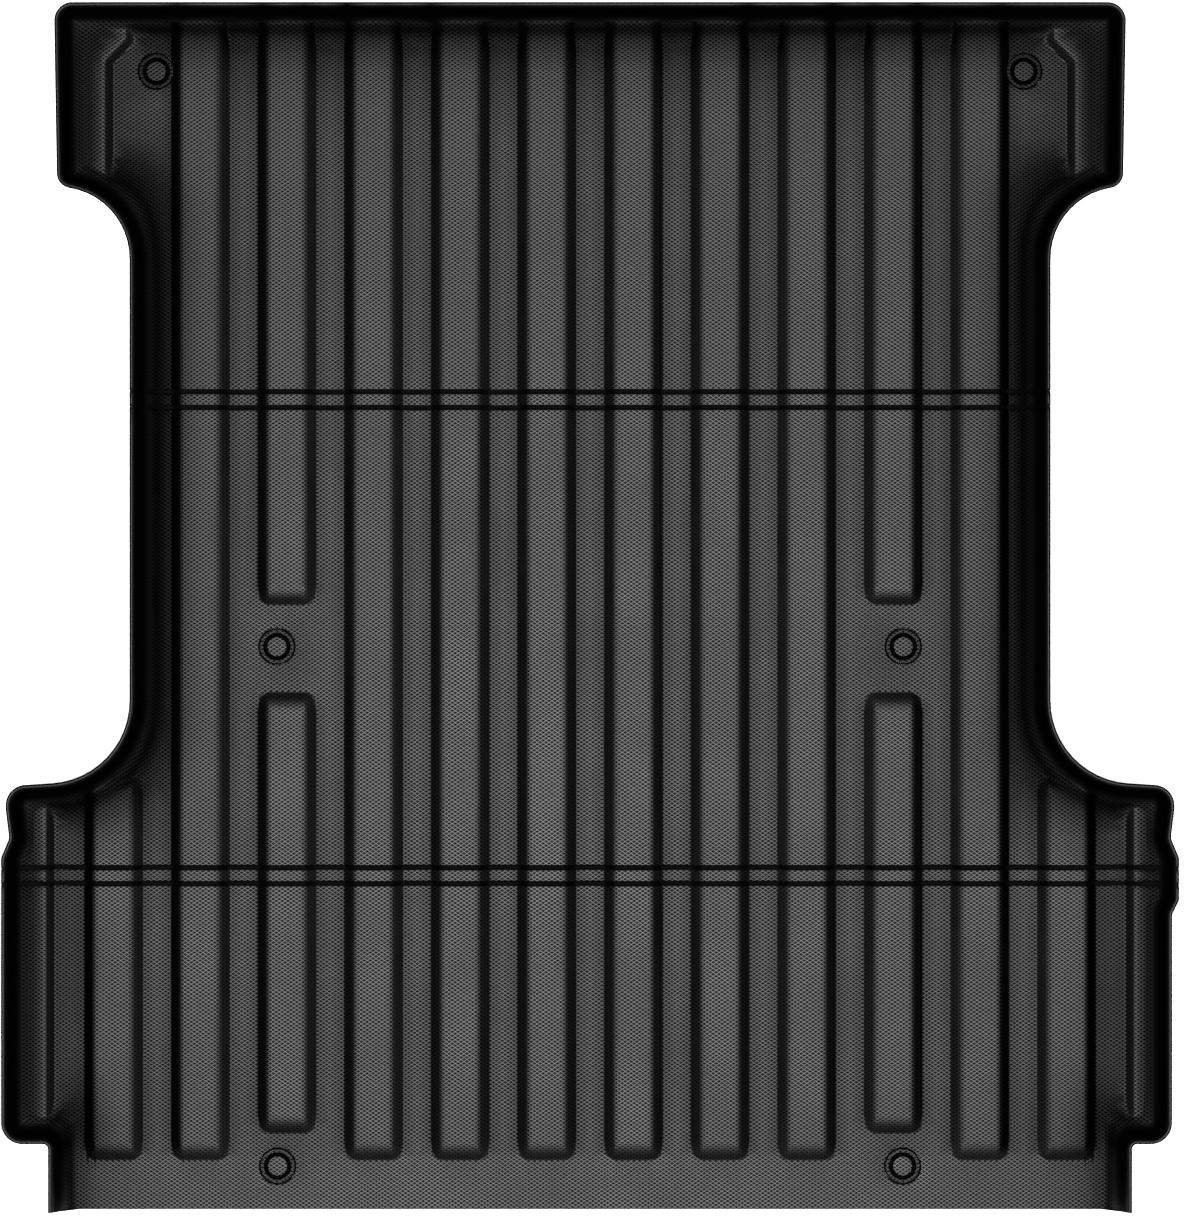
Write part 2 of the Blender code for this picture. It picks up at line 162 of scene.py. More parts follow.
# Plugs
HOLE_RADIUS = 0.0258
HOLE_SEGMENTS = 72
HOLE_COLLAR = (0.0012, 0.0060)  # the hollow of a rib stops between these distances from a hole
HOLE_MARGIN = 0.0016  # columns and shelf lines keep this far from a hole
HOLE_SIDE = 0.008  # columns this close beside a hole get finer rows
HOLE_ROWS = np.arange(-0.036, 0.0361, 0.003)
HOLE_ROW_ZONE = 0.038  # which replace the ordinary ones up to here

# Plan of the rim, cab end first: half-width, y, fillet radius
HALF_RIM = (
    (0.7527, HALF_LENGTH, 0.0255),
    (0.7485, 0.592, 0.0215),
    (0.6467, 0.574, 0.100),
    (0.6467, -0.240, 0.116),
    (0.8210, -0.2505, 0.029),
    (0.8205, -0.284, 0.020),
    (0.8155, -0.324, 0.016),
    (0.8271, -0.351, 0.018),
)
# The same for the foot of the lip, before it is moved in by DEEP
HALF_COVE = (
    (0.7527, HALF_LENGTH, 0.006),
    (0.7485, 0.592, 0.006),
    (0.6467, 0.574, 0.085),
    (0.6467, -0.240, 0.150),
    (0.8210, -0.2505, 0.006),
    (0.8220, -0.330, 0.100),
    (0.8230, -0.345, 0.100),
    (0.8245, -0.360, 0.100),
)
SHALLOW = 0.020  # insets up to here follow the rim
DEEP = 0.060  # and from here on the cove
WING_HALF_WIDTH = 0.8271
RIGHT_STEP = 0.0098
RIGHT_STEP_Y = (-0.411, -0.431)
STEP_RADIUS = 0.010
NOTCH_Y = -0.7535
RIM_NOTCH_RADII = (0.030, 0.007)  # at the wing's rear corner and at the tailgate strip
COVE_NOTCH_RADII = (0.006, 0.030)
TAIL_HALF_WIDTH = 0.7611
TAIL_RADIUS = 0.004
OVERRUN = 0.14  # plans and ribs run on this far past the liner's ends
LINE_OVERRUN = 0.06  # the lines that insets are measured from end this far past the tailgate
LEAST_RADIUS = 0.002
ARC_STEP = math.radians(7.5)

# Where the skin's points lie: rings in from the rim, rows in from every cut edge, and columns
# in from the foot of a rib's side and of a shelf's wall
RING_INSETS = (
    0.00035, 0.0010, 0.0019, 0.0028, 0.0036, 0.0045, 0.0060, 0.0090, 0.0120, 0.0150, 0.0172,
    0.0192, 0.0212, 0.0235, 0.0260, 0.0285, 0.0310, 0.0335, 0.0360, 0.0385, 0.0412, 0.0442,
    0.0475, 0.0520, 0.0570, 0.0620,
)
RING_SPACING = 0.030
EDGE_STEPS = (0.00012, 0.00035, 0.00065, 0.0010)
COLUMN_DEPTHS = (
    -0.0020, -0.0007, 0.0, 0.0007, 0.0020, 0.0060, 0.0092, 0.0102, 0.0112, 0.0123, 0.0135, 0.0150,
    0.0175, 0.0205,
)
SHELF_DEPTHS = (
    -0.0020, -0.0007, 0.0, 0.0007, 0.0020, 0.0050, 0.0080, 0.0089, 0.0099, 0.0110, 0.0122, 0.0135,
)
RIB_MIDDLE = (-0.013, 0.0, 0.013)  # columns along the top of a rib
ROW_SPACING = 0.045
ROW_START = 0.03  # ordinary rows start this far in from the tailgate edge
ROW_END = 0.07  # and end this far in from the cab end
FOLD_ZONE = 0.012  # no ordinary row this close to a fold
FOLD_ROW = 0.0022  # but one more row this far from each edge of its groove
END_STEP = 0.0022  # spacing of points along a rib's sloping end
END_ZONE = 0.004  # rows run on this far past the ends of a rib
COLUMN_TOP = 0.0245  # rib columns stop this far in from the rim
VALLEY_TOP = 0.0635  # and the columns between the ribs this far
SHELF_LINE_TOP = 0.0265
SHELF_LINE_SPACING = 0.006
SPAN_POINTS = 12  # a column is tested for a hole at this many points between two of its own
SLIT_ROWS = (0.0008, 0.0014, 0.0022, 0.0033, 0.0046)  # on the lip, beside each slit
TAIL_ROWS = (0.0010, 0.0030, 0.0120, 0.0280)  # rows in from the tailgate edge
TAIL_ROW_END = 0.697
TAIL_ROW_POINTS = 47
TAIL_EDGE_POINTS = np.arange(-0.72, 0.721, 0.04)
LEVEL = 1e-6  # a line that climbs less than this crosses no row
END_SHARE = 0.0005  # no new point closer to a line's end than this share of it
CROWDED = 0.0008  # points closer than this give way to a row's own
SHEET_SHARP = math.radians(38)  # edges sharper than this are shaded sharp


def folds():
    """Name, y and half-length of every groove, with the two bodies that it joins."""
    found = []
    for joint in frame["joints"]:
        if joint["type"] != "hinge":
            continue
        y = joint["pos_m"][1]
        reach = FRONT_GROOVE_END if y > 0 else REAR_GROOVE_END
        name = joint["name"].replace("_fold", "")
        found.append((name, y, reach, joint["parent"], joint["child"]))
    return found


def plugs():
    """Name and centre of every plug, from the CAD."""
    found = []
    for name in frame["nodes"]:
        if name.startswith("plug_"):
            low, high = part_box(name)
            found.append((name, (low[0] + high[0]) / 2, (low[1] + high[1]) / 2))
    return found


def rib_list():
    """Every rib as (x, front end, rear end); the long ones run on under the cab-end lip."""
    past = HALF_LENGTH + OVERRUN
    front_half_end, rear_half_start, rear_half_end = SPLIT_RIB_ENDS
    found = []
    for side in (-1, 1):
        for number in range(WING_RIB + 1):
            x = side * (number + 0.5) * RIB_PITCH
            if number == SPLIT_RIB:
                found.append((x, past, front_half_end))
                found.append((x, rear_half_start, rear_half_end))
            elif number == WING_RIB:
                found.append((x, WING_RIB_FRONT, RIB_REAR_END))
            else:
                found.append((x, past, RIB_REAR_END))
    return found


FOLDS = folds()
PLUGS = plugs()
RIBS = rib_list()


# ---------------------------------------------------------------- plan

def side_corners(side, half_plan, notch_radii):
    """Corners of one side of a plan, cab end first; side is 1 for right, -1 for left."""
    corners = list(half_plan)
    wing = WING_HALF_WIDTH
    if side > 0:
        corners.append((wing, RIGHT_STEP_Y[0], STEP_RADIUS))
        wing -= RIGHT_STEP
        corners.append((wing, RIGHT_STEP_Y[1], STEP_RADIUS))
    wing_radius, tail_radius = notch_radii
    corners.append((wing, NOTCH_Y, wing_radius))
    corners.append((TAIL_HALF_WIDTH, NOTCH_Y, tail_radius))
    corners.append((TAIL_HALF_WIDTH, -HALF_LENGTH - OVERRUN, TAIL_RADIUS))
    return [(side * x, y, radius) for x, y, radius in corners]


def plan(half_plan, notch_radii):
    """A whole plan as corners with fillet radii, anticlockwise."""
    left = side_corners(-1, half_plan, notch_radii)
    right = side_corners(1, half_plan, notch_radii)
    return left + right[::-1]


def directions(corners, index):
    """Unit directions of the edges that reach and leave a corner."""
    before = Vector(corners[index - 1][:2])
    here = Vector(corners[index][:2])
    after = Vector(corners[(index + 1) % len(corners)][:2])
    return (here - before).normalized(), (after - here).normalized()


def turn_at(corners, index):
    """Angle turned at a corner, positive at an outside corner."""
    arriving, leaving = directions(corners, index)
    return math.atan2(arriving.cross(leaving), arriving.dot(leaving))


def inset(corners, distance):
    """Move every edge inwards, with its fillets kept concentric."""
    moved = []
    for index, (x, y, radius) in enumerate(corners):
        arriving, leaving = directions(corners, index)
        inward = Vector((-arriving.y, arriving.x))
        next_inward = Vector((-leaving.y, leaving.x))
        mitre = (inward + next_inward) * (distance / (1 + inward.dot(next_inward)))
        new_radius = radius - distance if turn_at(corners, index) > 0 else radius + distance
        moved.append((x + mitre.x, y + mitre.y, max(new_radius, LEAST_RADIUS)))
    return moved


def fillet(corners, steps):
    """Plan points with each corner replaced by its arc."""
    points = []
    for index, ((x, y, radius), count) in enumerate(zip(corners, steps)):
        arriving, _ = directions(corners, index)
        turn = turn_at(corners, index)
        start = Vector((x, y)) - arriving * radius * math.tan(abs(turn) / 2)
        spoke = Vector((arriving.y, -arriving.x)) * math.copysign(radius, turn)
        centre = start - spoke
        for step in range(count + 1):
            angle = turn * step / count
            points.append((
                centre.x + spoke.x * math.cos(angle) - spoke.y * math.sin(angle),
                centre.y + spoke.x * math.sin(angle) + spoke.y * math.cos(angle),
            ))
    return points


def ring(distance):
    """Plan points of the liner at an inset from its rim."""
    rim = plan(HALF_RIM, RIM_NOTCH_RADII)
    steps = [max(2, math.ceil(abs(turn_at(rim, i)) / ARC_STEP)) for i in range(len(rim))]
    if distance <= SHALLOW:
        return fillet(inset(rim, distance), steps)
    shallow = inset(rim, SHALLOW)
    cove = plan(HALF_COVE, COVE_NOTCH_RADII)
    deep = inset(cove, DEEP)
    share = (distance - SHALLOW) / (DEEP - SHALLOW)
    corners = []
    for (x, y, radius), (cove_x, cove_y, _), (_, _, cove_radius) in zip(shallow, deep, cove):
        corners.append((
            x + (cove_x - x) * share,
            y + (cove_y - y) * share,
            max(radius + (cove_radius - radius) * share, LEAST_RADIUS),
        ))
    return fillet(corners, steps)


def cut_at_tail(points, tail):
    """The open run of a closed ring that lies in front of the tailgate edge."""
    points = np.array(points)
    inside = points[:, 1] > tail
    start = next(i for i in range(len(points)) if inside[i] and not inside[i - 1])
    turned = np.roll(points, -start, axis=0)
    count = int(inside.sum())
    kept = turned[:count]
    first = np.array((kept[0][0], tail))
    last = np.array((kept[-1][0], tail))
    return np.vstack((first, kept, last))


def finer(points, spacing, marks):
    """The same polyline with points every so often, and at each of the marked y."""
    out = [points[0]]
    for a, b in zip(points, points[1:]):
        length = math.hypot(*(b - a))
        shares = set(np.linspace(0, 1, max(1, math.ceil(length / spacing)) + 1)[1:-1])
        if abs(b[1] - a[1]) > LEVEL:
            for y in marks:
                share = (y - a[1]) / (b[1] - a[1])
                if END_SHARE < share < 1 - END_SHARE:
                    shares = {s for s in shares if abs(s - share) * length > CROWDED} | {share}
        out.extend(a + (b - a) * share for share in sorted(shares))
        out.append(b)
    return np.array(out)


def distance_to(points, line):
    """Distance from every point to an open polyline."""
    starts = line[:-1]
    runs = line[1:] - starts
    lengths = np.maximum((runs ** 2).sum(1), 1e-18)
    out = np.empty(len(points))
    for first in range(0, len(points), 4000):
        some = points[first:first + 4000, None, :] - starts[None]
        share = np.clip((some * runs[None]).sum(2) / lengths[None], 0, 1)
        gap = some - share[..., None] * runs[None]
        out[first:first + 4000] = np.sqrt((gap ** 2).sum(2).min(1))
    return out


def inside_of(points, polygon):
    """True for the points inside a polygon."""
    inside = np.zeros(len(points), bool)
    x, y = points[:, 0], points[:, 1]
    for (ax, ay), (bx, by) in zip(polygon, np.roll(polygon, -1, axis=0)):
        if ay == by:
            continue
        straddles = (ay > y) != (by > y)
        inside ^= straddles & (x < (bx - ax) * (y - ay) / (by - ay) + ax)
    return inside


RIM_LINE, SHALLOW_LINE, DEEP_LINE = (
    cut_at_tail(ring(distance), -HALF_LENGTH - LINE_OVERRUN) for distance in (0.0, SHALLOW, DEEP)
)


def inset_of(points):
    """How far in from the rim each plan point lies, as the lip's profile counts it."""
    rim = distance_to(points, RIM_LINE)
    shallow = distance_to(points, SHALLOW_LINE)
    deep = distance_to(points, DEEP_LINE)
    past_shallow = inside_of(points, SHALLOW_LINE)
    past_deep = inside_of(points, DEEP_LINE)
    between = SHALLOW + (DEEP - SHALLOW) * shallow / np.maximum(shallow + deep, 1e-9)
    outside_deep = np.where(past_shallow, between, np.minimum(rim, SHALLOW))
    return np.where(past_deep, DEEP + deep, outside_deep)


# ---------------------------------------------------------------- heights

def blurred(points, blur):
    """A height curve through the points, with its corners rounded."""
    places = np.arange(points[0][0], points[-1][0], CURVE_STEP)
    heights = np.interp(places, *zip(*points))
    reach = int(BLUR_REACH * blur / CURVE_STEP)
    kernel = np.exp(-0.5 * (np.arange(-reach, reach + 1) * CURVE_STEP / blur) ** 2)
    padded = np.pad(heights, reach, mode="edge")
    return places, np.convolve(padded, kernel / kernel.sum(), mode="valid")


def shoulder_curve(height, angle, radius):
    """A wall at an angle that rounds over to a level top, as height against distance."""
    rise = height - radius * (1 - math.cos(angle))
    run = rise / math.tan(angle)
    whole = run + radius * math.sin(angle)
    points = [(CURVE_ENDS[0], 0.0), (0.0, 0.0), (run, rise)]
    for share in np.linspace(0, 1, SHOULDER_POINTS)[1:]:
        distance = run + (whole - run) * share
        points.append((distance, height - radius + math.sqrt(radius ** 2 - (whole - distance) ** 2)))
    points.append((CURVE_ENDS[1], height))
    return blurred(points, RIB_FOOT_BLUR)


UPPER_CURVE = blurred(UPPER_FACE, FACE_BLUR)
LOWER_CURVE = blurred(LOWER_FACE, FACE_BLUR)
RIB_CURVE = shoulder_curve(RIB_HEIGHT, *RIB_SIDE)
RIB_END_CURVE = shoulder_curve(RIB_HEIGHT, *RIB_END)
SHELF_CURVE = shoulder_curve(SHELF_HEIGHT, *SHELF_SIDE)


def join(a, b):
    """The higher of two heights, with a soft valley where they cross."""
    melt = np.clip(0.5 * (a + b), 1e-9, MELT)
    near = np.clip(melt - np.abs(a - b), 0, None) / melt
    return np.maximum(a, b) + near ** 2 * melt / 4


def smooth(value, low, high):
    """0 below one value, 1 above the other and a smooth step between them."""
    t = np.clip((value - low) / (high - low), 0, 1)
    return t * t * (3 - 2 * t)


def end_depth(distance):
    """The distance in from a rib's side that stands as high as this distance in from its end."""
    places, heights = RIB_CURVE
    end_places, end_heights = RIB_END_CURVE
    top = RIB_HEIGHT - TOP_MARGIN
    sloping = (places > 0) & (heights < top)
    scaled = distance / RIB_END_STRETCH
    inside = np.interp(np.interp(scaled, *RIB_END_CURVE), heights[sloping], places[sloping])
    level = scaled > end_places[np.searchsorted(end_heights, top)]
    return np.where(scaled < END_FOOT, scaled, np.where(level, RIB_REACH, inside))


def rib_depth(x, y):
    """Distance in from the foot of the nearest rib, negative outside it."""
    deepest = np.full(len(x), -1.0)
    for centre, front, rear in RIBS:
        side = RIB_REACH - (RIB_HALF_WIDTH - np.abs(x - centre))
        end = RIB_REACH - end_depth(np.minimum(front - y, y - rear))
        depth = RIB_REACH - np.hypot(np.maximum(side, 0), np.maximum(end, 0))
        deepest = np.maximum(deepest, depth)
    return deepest


def rib_height(x, y, shift):
    """Height of the ribs over the floor; the shift gives their hollows."""
    return np.interp(rib_depth(x, y) - shift, *RIB_CURVE)


def shelf_depth(x, y):
    """Distance in from the edge of the nearest corner shelf, negative outside it."""
    points = np.column_stack((np.abs(x), y))
    deepest = np.full(len(x), -1.0)
    for polygon in (FRONT_SHELF, REAR_SHELF):
        corners = np.array(polygon)
        depth = distance_to(points, np.vstack((corners, corners[:1])))
        deepest = np.maximum(deepest, np.where(inside_of(points, corners), depth, -depth))
    return deepest


def shelf_height(x, y, shift):
    """Height of the corner shelves over the floor; the shift gives their hollows."""
    return np.interp(shelf_depth(x, y) - shift, *SHELF_CURVE)


def rounding(distance, radius):
    """How far an edge has dropped at a distance in from it."""
    t = np.clip(1 - distance / radius, 0, 1)
    return radius * (1 - np.sqrt(1 - t ** 2))


def edge_drop(x, y, inset_from_rim):
    """Rounded edges of the sheet: rim, tailgate edge, grooves and plug holes."""
    drop = rounding(y + HALF_LENGTH, EDGE_ROUND)
    drop = np.maximum(drop, rounding(inset_from_rim, RIM_ROUND))
    nick = np.zeros(len(x))
    for _, fold, reach, _, _ in FOLDS:
        off = np.abs(y - fold)
        beyond = np.abs(x) - reach
        gap = np.hypot(np.maximum(beyond, 0), np.maximum(off - GROOVE_WIDTH / 2, 0))
        drop = np.maximum(drop, rounding(gap, EDGE_ROUND))
        here = np.clip(beyond / NICK_FADE, 0, 1) * np.clip(1 - off / NICK_HALF, 0, 1) ** NICK_POWER
        nick = np.maximum(nick, NICK_DEPTH * here)
    for _, cx, cy in PLUGS:
        gap = np.hypot(x - cx, y - cy) - HOLE_RADIUS
        drop = np.maximum(drop, rounding(np.maximum(gap, 0), EDGE_ROUND))
    return drop + nick


def cove_depth(x, y, depths):
    """The inset that the lip's profile is read at; the cove is tighter beside the tailgate."""
    tight = np.interp(depths, *zip(*TIGHT_COVE))
    share = smooth(-y, -TIGHT_Y[0], -TIGHT_Y[1]) * smooth(-np.abs(x), -TIGHT_X[0], -TIGHT_X[1])
    return depths + (tight - depths) * share


def clear_of_holes(x, y):
    """0 beside a plug hole, where the sheet is solid down to the bed floor, and 1 further off."""
    gap = np.full(len(x), 1.0)
    for _, cx, cy in PLUGS:
        gap = np.minimum(gap, np.hypot(x - cx, y - cy) - HOLE_RADIUS)
    return smooth(gap, *HOLE_COLLAR)


def lower_face(points, depths):
    """Height of the underside."""
    x, y = points[:, 0], points[:, 1]
    floor = np.minimum(np.interp(cove_depth(x, y, depths), *LOWER_CURVE), LIP_UNDERSIDE)
    raised = join(rib_height(x, y, WALL_SHIFT), shelf_height(x, y, WALL_SHIFT))
    return join(floor, raised * clear_of_holes(x, y))


def upper_face(points, depths):
    """Height of the upper side."""
    x, y = points[:, 0], points[:, 1]
    floor = np.interp(cove_depth(x, y, depths), *UPPER_CURVE) - SKIN
    raised = join(rib_height(x, y, 0.0), shelf_height(x, y, 0.0))
    return SKIN + join(floor, raised) - edge_drop(x, y, depths)


# ---------------------------------------------------------------- skins

class Plan:
    """Points, constraint lines and cut-out polygons of the liner's plan."""

    def __init__(self):
        self.points = []
        self.edges = []
        self.polygons = []

    def line(self, points, closed=False, polygon=False):
        """Add a polyline; a polygon's inside can be told apart later."""
        first = len(self.points)
        self.points.extend(Vector((float(x), float(y))) for x, y in points)
        count = len(points)
        self.edges.extend((first + i, first + i + 1) for i in range(count - 1))
        if closed:
            self.edges.append((first + count - 1, first))
        if polygon:
            self.polygons.append(list(range(first, first + count)))

    def triangulate(self):
        """Plan points, and the triangles that lie in the first polygon and in no other."""
        points, _, faces, _, _, inside = delaunay_2d_cdt(
            self.points, self.edges, self.polygons, 0, 1e-6
        )
        kept = [face for face, where in zip(faces, inside) if list(where) == [0]]
        return np.array([tuple(p) for p in points]), np.array(kept)


def rows():
    """The y at which every column has a point."""
    found = list(np.arange(-HALF_LENGTH + ROW_START, HALF_LENGTH - ROW_END, ROW_SPACING))
    found.extend(HALF_LENGTH - distance for distance in RING_INSETS if distance > COLUMN_TOP)
    for _, fold, _, _, _ in FOLDS:
        found = [y for y in found if abs(y - fold) > FOLD_ZONE]
        for side in (-1, 1):
            edge = fold + side * GROOVE_WIDTH / 2
            found.extend(edge + side * step for step in EDGE_STEPS + (FOLD_ROW,))
    found.extend(-HALF_LENGTH + step for step in EDGE_STEPS)
    return sorted(found)


def rib_rows(front, rear):
    """The y at which a rib's columns have points, with its sloping ends drawn finely."""
    found = [y for y in rows() if rear - END_ZONE < y < front + END_ZONE]
    steps = np.arange(-END_STEP, RIB_REACH * RIB_END_STRETCH, END_STEP)
    ends = [rear + step for step in steps]
    if front < HALF_LENGTH:
        ends.extend(front - step for step in steps)
    found = [y for y in found if min(abs(y - e) for e in ends) > END_STEP / 2]
    return np.array(sorted(found + ends))


def near_hole(points):
    """True for the points on or near a plug hole."""
    close = np.zeros(len(points), bool)
    for _, cx, cy in PLUGS:
        close |= np.hypot(points[:, 0] - cx, points[:, 1] - cy) < HOLE_RADIUS + HOLE_MARGIN
    return close


def finer_at_holes(x, ys):
    """The same rows with closer ones where a column passes a plug hole."""
    for _, cx, cy in PLUGS:
        if abs(x - cx) < HOLE_RADIUS + HOLE_SIDE:
            extra = cy + HOLE_ROWS
            away = ys[np.abs(ys - cy) > HOLE_ROW_ZONE]
            ys = np.sort(np.concatenate((away, extra[(extra > ys[0]) & (extra < ys[-1])])))
    return ys


def add_column(plan_lines, x, ys, least_inset):
    """A line of points along a rib or valley, broken at the lip and at plug holes."""
    ys = finer_at_holes(x, ys)
    points = np.column_stack((np.full(len(ys), x), ys))
    good = (inset_of(points) > least_inset) & ~near_hole(points)
    run = []
    for point, keep in zip(points, good):
        blocked = False
        if run and keep:
            blocked = near_hole(np.linspace(run[-1], point, SPAN_POINTS)).any()
        if not keep or blocked:
            if run:
                plan_lines.line(run)
            run = []
        if keep:
            run.append(point)
    if run:
        plan_lines.line(run)


def beside(path, distance):
    """An open path moved to its left, with mitred corners."""
    path = [Vector(p) for p in path]
    moved = []
    for i, here in enumerate(path):
        arriving = (here - path[i - 1]).normalized() if i else (path[1] - here).normalized()
        leaving = (path[i + 1] - here).normalized() if i + 1 < len(path) else arriving
        left = Vector((-arriving.y, arriving.x))
        next_left = Vector((-leaving.y, leaving.x))
        moved.append(here + (left + next_left) * (distance / (1 + left.dot(next_left))))
    return np.array(moved)


def add_shelf_lines(lines):
    """Lines of points along the walls of the corner shelves."""
    front_wall = [FRONT_SHELF[0], FRONT_SHELF[5], FRONT_SHELF[4], FRONT_SHELF[3]]
    rear_wall = [REAR_SHELF[0], REAR_SHELF[3]]
    for wall in (front_wall, rear_wall):
        for depth in SHELF_DEPTHS:
            path = beside(wall, -depth)
            fine = []
            for a, b in zip(path, path[1:]):
                count = max(2, int(math.dist(a, b) / SHELF_LINE_SPACING))
                fine.extend(a + (b - a) * share for share in np.linspace(0, 1, count)[:-1])
            fine = np.array(fine + [path[-1]])
            for side in (-1, 1):
                placed = fine * np.array((side, 1))
                kept = (inset_of(placed) > SHELF_LINE_TOP) & (np.abs(placed[:, 1]) < HALF_LENGTH)
                kept &= ~near_hole(placed)
                run = placed[kept]
                if len(run) > 1:
                    lines.line(run)


def add_box(lines, left, right, low, high):
    """A rectangle that is cut out of the sheet."""
    box = ((left, low), (right, low), (right, high), (left, high))
    lines.line(box, closed=True, polygon=True)


def build_plan():
    """The whole plan with every line that the skins need."""
    lines = Plan()
    slit_rows = []
    for _, fold, _, _, _ in FOLDS:
        for side in (-1, 1):
            slit_rows.extend(fold + side * off for off in SLIT_ROWS)
    rim = finer(cut_at_tail(ring(0.0), -HALF_LENGTH), RING_SPACING, slit_rows)
    tail_edge = [(x, -HALF_LENGTH) for x in TAIL_EDGE_POINTS]
    lines.line(list(rim) + tail_edge, closed=True, polygon=True)

    half = GROOVE_WIDTH / 2
    slit = LIP_SLIT / 2
    for _, fold, reach, _, _ in FOLDS:
        add_box(lines, -reach, reach, fold - half, fold + half)
        for side in (-1, 1):
            near, far = sorted((side * (reach - SLIT_LAP), side * PAST_SIDE))
            add_box(lines, near, far, fold - slit, fold + slit)
    for _, cx, cy in PLUGS:
        for step in (0.0,) + EDGE_STEPS:
            radius = HOLE_RADIUS + step
            circle = [
                (cx + radius * math.cos(a), cy + radius * math.sin(a))
                for a in np.linspace(0, 2 * math.pi, HOLE_SEGMENTS, endpoint=False)
            ]
            lines.line(circle, closed=True, polygon=step == 0.0)

    ring_rows = slit_rows + [row - HALF_LENGTH for row in TAIL_ROWS]
    for distance in RING_INSETS:
        run = cut_at_tail(ring(distance), -HALF_LENGTH + EDGE_STEPS[0])
        lines.line(finer(run, RING_SPACING, ring_rows))

    add_shelf_lines(lines)
    tail_xs = np.linspace(-TAIL_ROW_END, TAIL_ROW_END, TAIL_ROW_POINTS)
    for row in EDGE_STEPS[1:-1] + TAIL_ROWS:
        lines.line([(x, row - HALF_LENGTH) for x in tail_xs])

    for centre, front, rear in RIBS:
        ys = rib_rows(min(front, HALF_LENGTH), rear)
        offsets = set(RIB_MIDDLE)
        for depth in COLUMN_DEPTHS:
            offsets |= {RIB_HALF_WIDTH - depth, depth - RIB_HALF_WIDTH}
        for offset in sorted(offsets):
            add_column(lines, centre + offset, ys, COLUMN_TOP)
    for number in range(-WING_RIB - 1, WING_RIB + 2):
        add_column(lines, number * RIB_PITCH, np.array(rows()), VALLEY_TOP)
    return lines


def split_by_fold(points, triangles):
    """Triangles of each sheet node, told apart by which folds they lie between."""
    y = points[triangles].mean(1)[:, 1]
    limits = {name: fold for name, fold, _, _, _ in FOLDS}
    spans = {
        "front_panel": (limits["front_outer"], HALF_LENGTH),
        "front_fold_strip": (limits["front_inner"], limits["front_outer"]),
        "centre_panel": (limits["rear_inner"], limits["front_inner"]),
        "rear_fold_strip": (limits["rear_outer"], limits["rear_inner"]),
        "rear_panel": (-HALF_LENGTH, limits["rear_outer"]),
    }
    return {name: triangles[(y > low) & (y < high)] for name, (low, high) in spans.items()}


def set_marks(mesh, name, values):
    """Store one number per vertex for the material to read."""
    marks = mesh.attributes.new(name, "FLOAT", "POINT")
    marks.data.foreach_set("value", np.asarray(values, dtype=np.float32))


def closed_skin(name, points, triangles, lower, upper, grain, sheen):
    """Closed mesh between two heights over the same plan triangles."""
    used, local = np.unique(triangles, return_inverse=True)
    local = local.reshape(-1, 3)
    count = len(used)
    plan_xy = points[used]
    verts = np.vstack((
        np.column_stack((plan_xy, upper[used])), np.column_stack((plan_xy, lower[used]))
    ))
    sides = {edge: True for a, b, c in local for edge in ((a, b), (b, c), (c, a))}
    walls = [(a, a + count, b + count, b) for a, b in sides if (b, a) not in sides]
    faces = [tuple(t) for t in local] + [tuple(t[::-1] + count) for t in local] + walls
    mesh = bpy.data.meshes.new(name)
    mesh.from_pydata(verts.tolist(), [], [tuple(int(i) for i in f) for f in faces])
    mesh.update()
    set_marks(mesh, "grain", np.concatenate((grain[used], np.zeros(count))))
    # light and shade painted into the material, one factor per vertex
    set_marks(mesh, "sheen", np.concatenate((sheen[used], np.full(count, UNDERSIDE_SHEEN))))
    mesh.polygons.foreach_set("use_smooth", [True] * len(mesh.polygons))
    mesh.set_sharp_from_angle(angle=SHEET_SHARP)
    thing = bpy.data.objects.new(name, mesh)
    bpy.context.scene.collection.objects.link(thing)
    return thing


# ---------------------------------------------------------------- painted light

# Light and shade painted into the moulding's colour and gloss, as a factor: inset from the rim, then
# floor, rib tops, tailgate strip. Painted shade towards the lip; the rise from 2.4 to 6 mm in is a
# painted highlight along the top of the rim
PAINTED_LIGHT_TABLE = (
    (0.0000, 0.00, 0.00, 0.00),
    (0.0012, 0.00, 0.00, 0.00),
    (0.0024, 0.32, 0.32, 0.32),
    (0.0034, 0.60, 0.60, 0.60),
    (0.0045, 0.75, 0.75, 0.75),
    (0.0060, 0.30, 0.30, 0.30),
    (0.0080, 0.02, 0.02, 0.02),
    (0.0160, 0.02, 0.02, 0.05),
    (0.0190, 0.07, 0.16, 0.30),
    (0.0225, 0.13, 0.24, 0.55),
    (0.0265, 0.19, 0.14, 0.55),
    (0.0300, 0.17, 0.05, 0.30),
    (0.0340, 0.12, 0.045, 0.28),
    (0.0390, 0.14, 0.07, 0.30),
    (0.0440, 0.13, 0.15, 0.35),
    (0.0500, 0.13, 0.26, 0.42),
    (0.0560, 0.15, 0.34, 0.53),
    (0.0620, 0.19, 0.40, 0.63),
    (0.0700, 0.28, 0.48, 0.71),
    (0.0800, 0.39, 0.62, 0.77),
    (0.1000, 0.50, 0.86, 0.80),
    (0.1300, 0.64, 0.93, 0.86),
    (0.1600, 0.77, 0.96, 0.93),
    (0.2500, 0.81, 1.00, 0.97),
)
# The same painted light on the corner shelves, against the distance in from the shelf's wall, with a
# painted highlight along the shelf's inner edge
SHELF_PAINTED_LIGHT = (
    (-0.0040, 0.00), (-0.0010, 0.60), (0.0070, 0.80), (0.0112, 0.80), (0.0134, 0.70),
    (0.0160, 0.52), (0.0190, 0.38), (0.0240, 0.24), (0.0300, 0.14), (0.0380, 0.10),
    (0.0500, 0.08), (0.0700, 0.05),
)
SHELF_PAINTED_LIGHT_START = (0.030, 0.037)  # shelves take to their own table between these insets
